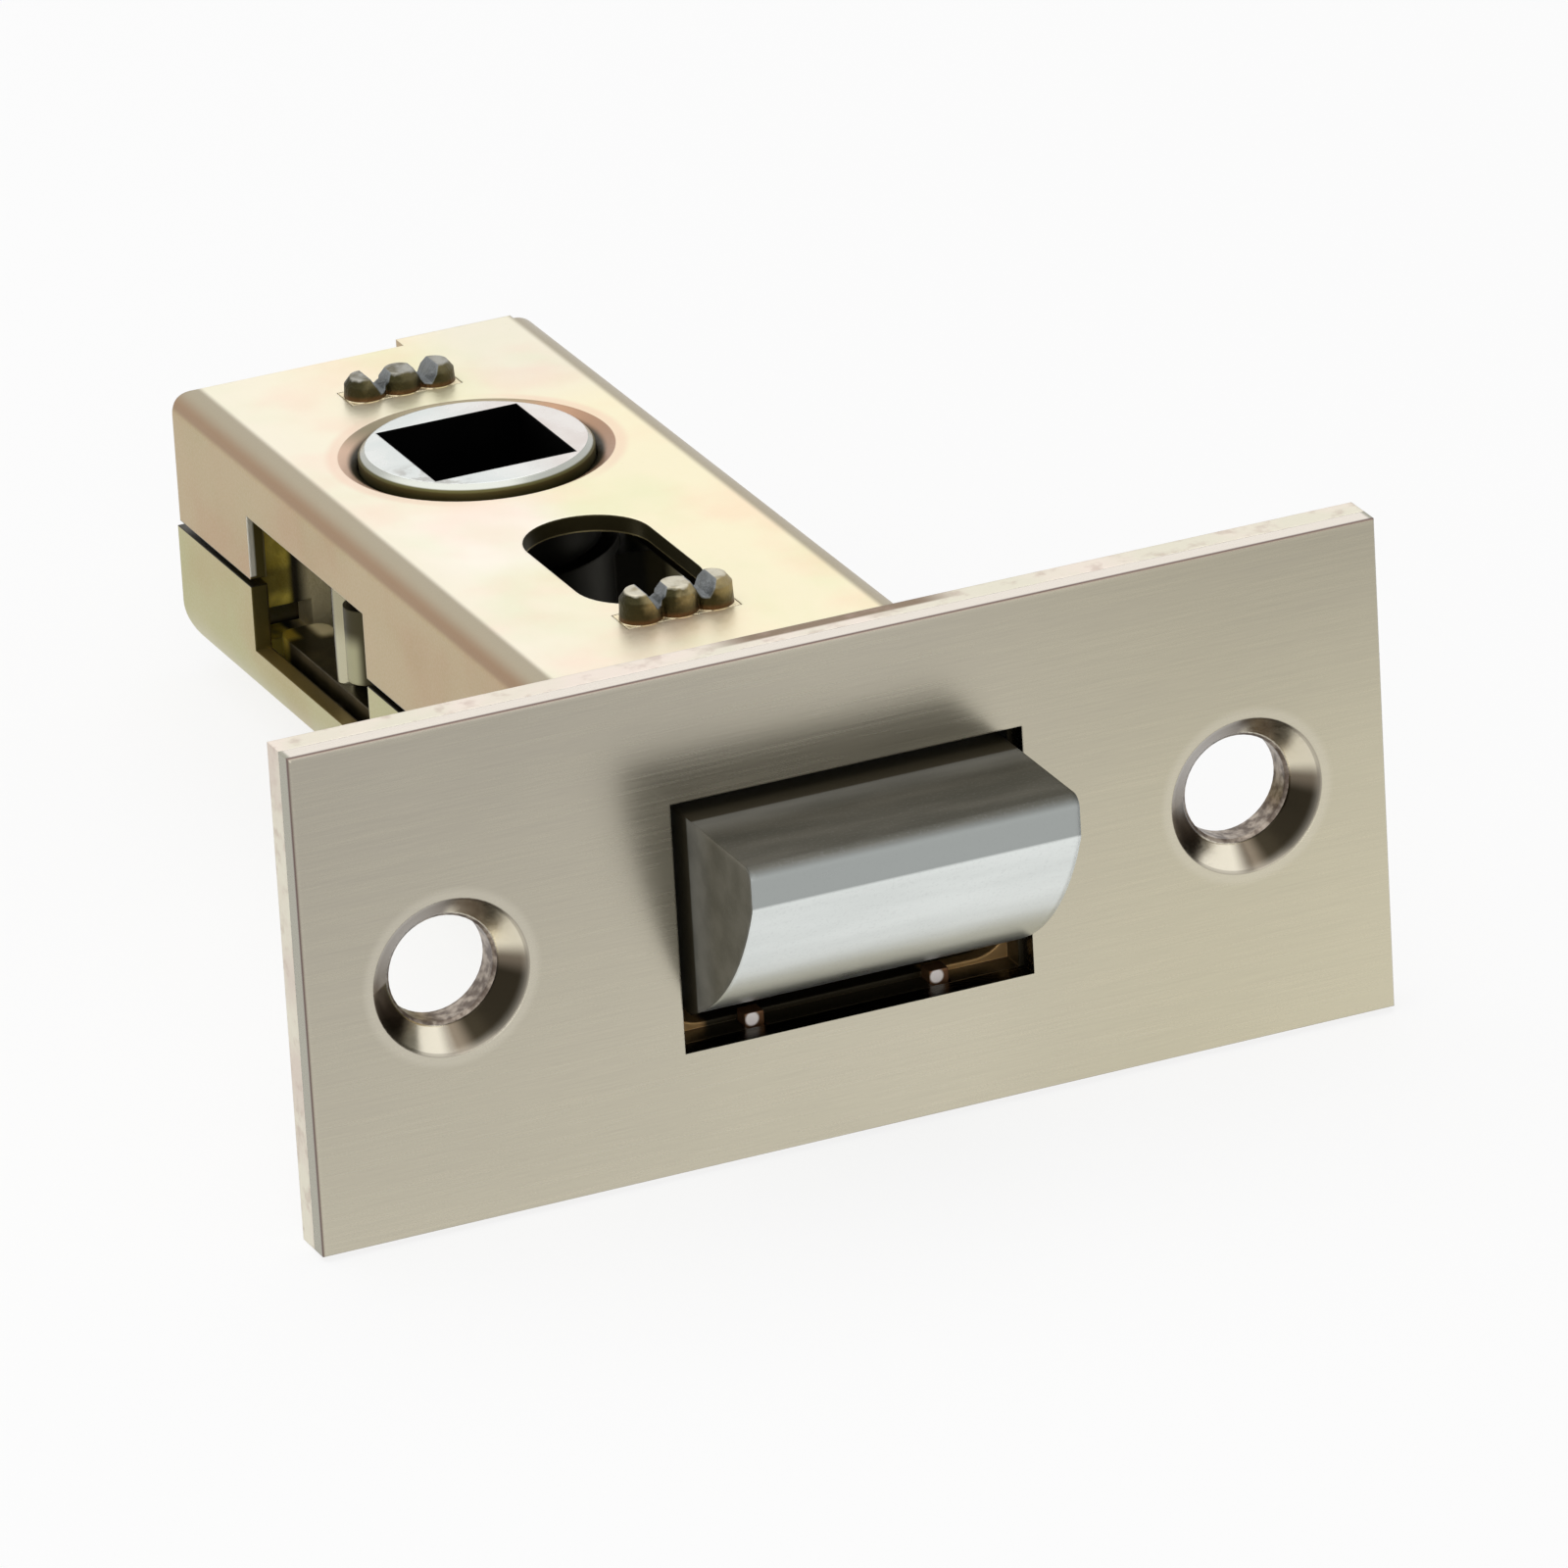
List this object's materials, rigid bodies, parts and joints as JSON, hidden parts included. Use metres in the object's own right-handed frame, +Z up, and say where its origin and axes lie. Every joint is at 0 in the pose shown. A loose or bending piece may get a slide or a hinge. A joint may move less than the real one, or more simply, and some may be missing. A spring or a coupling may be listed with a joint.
{
  "type": "tubular door latch",
  "caption": "Tubular mortice door latch: a sprung, bevelled bolt in a folded metal case behind a rectangular faceplate, drawn back by a square-holed follower.",
  "frame": {"origin": "centre of the faceplate's outer face, halfway between the two screw holes", "axes": "+X along the faceplate, +Y into the door along the case (the bolt springs out towards -Y), +Z up along the spindle's axis, away from the bolt's bevel"},
  "size_m": [0.057, 0.0693, 0.0258],
  "materials": {
    "faceplate_nickel": "satin nickel plate, brushed along its length",
    "plate_zinc": "yellow-passivated zinc plate on steel",
    "upper_shell_zinc": "yellow-passivated zinc plate, cream with pink and green tints",
    "lower_shell_zinc": "yellow-passivated zinc plate, greener than the upper shell",
    "front_bridge_steel": "passivated steel, bared grey where the tabs are punched",
    "rear_bridge_steel": "passivated steel, bared grey where the tabs are punched",
    "bolt_casting": "smooth zinc alloy casting, tumbled",
    "upper_draw_zinc": "yellow-passivated zinc plate",
    "lower_draw_zinc": "yellow-passivated zinc plate",
    "tail_rivet_steel": "bright zinc plate",
    "left_pin_steel": "bright turned steel",
    "right_pin_steel": "bright turned steel",
    "left_spring_steel": "drawn spring wire",
    "right_spring_steel": "drawn spring wire",
    "follower_nickel": "bright nickel plate on a casting"
  },
  "bodies": {
    "case": {"faceplate": "faceplate_nickel", "backing_plate": "plate_zinc", "upper_case_shell": "upper_shell_zinc", "lower_case_shell": "lower_shell_zinc", "front_bridge_plate": "front_bridge_steel", "rear_bridge_plate": "rear_bridge_steel"},
    "bolt": {"latch_bolt": "bolt_casting", "upper_draw_plate": "upper_draw_zinc", "lower_draw_plate": "lower_draw_zinc", "tail_rivets": "tail_rivet_steel", "left_drive_pin": "left_pin_steel", "right_drive_pin": "right_pin_steel", "left_bolt_spring": "left_spring_steel", "right_bolt_spring": "right_spring_steel"},
    "hub": {"follower": "follower_nickel"}
  },
  "joints": [
    {"name": "bolt_slide", "type": "slide", "parent": "case", "child": "bolt", "axis": [0, 1, 0], "range_m": [0, 0.0075], "stiffness_N_per_m": 300, "springref_m": -0.01, "deforming": ["left_bolt_spring", "right_bolt_spring"]},
    {"name": "follower_turn", "type": "hinge", "parent": "case", "child": "hub", "pos_m": [0, 0.045, 0], "axis": [0, 0, 1], "range_deg": [0, 50]}
  ],
  "couplings": [
    {"joint": "follower_turn", "follows": "bolt_slide", "rad_per_m": 116.35}
  ]
}
